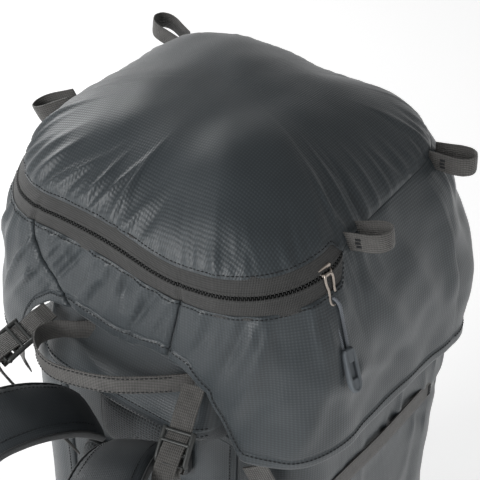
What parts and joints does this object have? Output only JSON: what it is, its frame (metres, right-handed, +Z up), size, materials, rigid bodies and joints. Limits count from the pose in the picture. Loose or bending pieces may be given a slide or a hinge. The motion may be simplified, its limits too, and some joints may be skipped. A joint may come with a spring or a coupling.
{
  "type": "hiking backpack",
  "caption": "Large hiking backpack with a framed sack, a zipped domed lid that opens on a rear hinge, harness, hip belt and outer pockets.",
  "frame": {"origin": "centre of the base, on the ground", "axes": "+Z up, +X towards the wearer's left, -Y towards the wearer (harness side)"},
  "size_m": [0.3691, 0.4422, 0.7],
  "materials": {
    "shell_cloth": "dobby-woven coated nylon, satin",
    "webbing": "ribbed polyester webbing",
    "spacer_mesh": "knitted mesh over foam",
    "moulded_nylon": "moulded, matt",
    "zip_tape": "woven zip tape",
    "zip_coil": "nylon coil",
    "zip_metal": "plated zinc, gunmetal",
    "stay_alloy": "anodised",
    "sheet_plastic": "extruded sheet",
    "cord": "braided cord",
    "grip_plastic": "soft moulded"
  },
  "bodies": {
    "pack": {"base_panel": "shell_cloth", "back_panel": "shell_cloth", "front_panel": "shell_cloth", "left_side_panel": "shell_cloth", "right_side_panel": "shell_cloth", "deck_panel": "shell_cloth", "collar": "shell_cloth", "collar_eyelets": "zip_metal", "frame_sheet": "sheet_plastic", "frame_stays": "stay_alloy", "back_pad_left": "spacer_mesh", "back_pad_right": "spacer_mesh", "lumbar_pad": "spacer_mesh", "harness_yoke": "spacer_mesh", "frame_cap": "shell_cloth", "ladderlocks": "moulded_nylon", "lifter_webbings": "webbing", "lifter_pads": "spacer_mesh", "lid_anchor_straps": "webbing", "side_pocket_left": "shell_cloth", "side_pocket_right": "shell_cloth", "front_pocket": "shell_cloth", "bottom_zip": "zip_tape", "side_straps_left": "webbing", "side_straps_right": "webbing", "buckle_tongues": "moulded_nylon", "front_straps": "webbing"},
    "lid": {"lid_top_panel": "shell_cloth", "lid_rear_panel": "shell_cloth", "lid_front_panel": "shell_cloth", "lid_left_panel": "shell_cloth", "lid_right_panel": "shell_cloth", "lid_floor": "shell_cloth", "zip_tape_upper": "zip_tape", "zip_tape_lower": "zip_tape", "zip_coil": "zip_coil", "lid_loop_rear_left": "webbing", "lid_loop_rear_right": "webbing", "lid_loop_front_left": "webbing", "lid_loop_front_right": "webbing", "lid_straps": "webbing", "buckle_sleeves": "moulded_nylon"},
    "haul_loop": {"haul_loop": "webbing"},
    "zip_slider": {"zip_slider": "zip_metal"},
    "zip_pull": {"zip_pull_bail": "zip_metal", "zip_pull_cord": "cord", "zip_pull_grip": "grip_plastic"},
    "shoulder_left": {"shoulder_strap_left": "shell_cloth", "strap_webbing_left": "webbing", "sternum_strap_left": "webbing"},
    "shoulder_right": {"shoulder_strap_right": "shell_cloth", "strap_webbing_right": "webbing", "sternum_strap_right": "webbing"},
    "hip_left": {"hip_wing_left": "spacer_mesh", "hip_webbing_left": "webbing"},
    "hip_right": {"hip_wing_right": "spacer_mesh", "hip_webbing_right": "webbing"},
    "bottom_slider": {"bottom_zip_slider": "zip_metal"}
  },
  "joints": [
    {"name": "lid_hinge", "type": "hinge", "parent": "pack", "child": "lid", "pos_m": [0, -0.142, 0.548], "axis": [1, 0, 0], "range_deg": [0, 85]},
    {"name": "haul_loop_swing", "type": "hinge", "parent": "pack", "child": "haul_loop", "pos_m": [0, -0.147, 0.532], "axis": [1, 0, 0], "range_deg": [-40, 0]},
    {"name": "zip_run", "type": "hinge", "parent": "lid", "child": "zip_slider", "pos_m": [0.072, -0.062, 0.636], "axis": [0, 0.1736, -0.9848], "range_deg": [0, 60]},
    {"name": "zip_pull_swing", "type": "hinge", "parent": "zip_slider", "child": "zip_pull", "pos_m": [0.14415, -0.07906, 0.63299], "axis": [-0.2334, -0.9724, 0], "range_deg": [0, 110]},
    {"name": "shoulder_left_swing", "type": "hinge", "parent": "pack", "child": "shoulder_left", "pos_m": [0.03129, -0.1541, 0.44516], "axis": [-0.2278, 0.0716, 0.9711], "range_deg": [-14, 0]},
    {"name": "shoulder_right_swing", "type": "hinge", "parent": "pack", "child": "shoulder_right", "pos_m": [-0.03129, -0.1541, 0.44516], "axis": [0.2278, 0.0716, 0.9711], "range_deg": [0, 14]},
    {"name": "hip_left_swing", "type": "hinge", "parent": "pack", "child": "hip_left", "pos_m": [0.094, -0.14, 0.101], "axis": [0, 0, 1], "range_deg": [-35, 15]},
    {"name": "hip_right_swing", "type": "hinge", "parent": "pack", "child": "hip_right", "pos_m": [-0.094, -0.14, 0.101], "axis": [0, 0, 1], "range_deg": [-15, 35]},
    {"name": "bottom_zip_run", "type": "slide", "parent": "pack", "child": "bottom_slider", "axis": [-1, 0, 0], "range_m": [0, 0.15]}
  ]
}
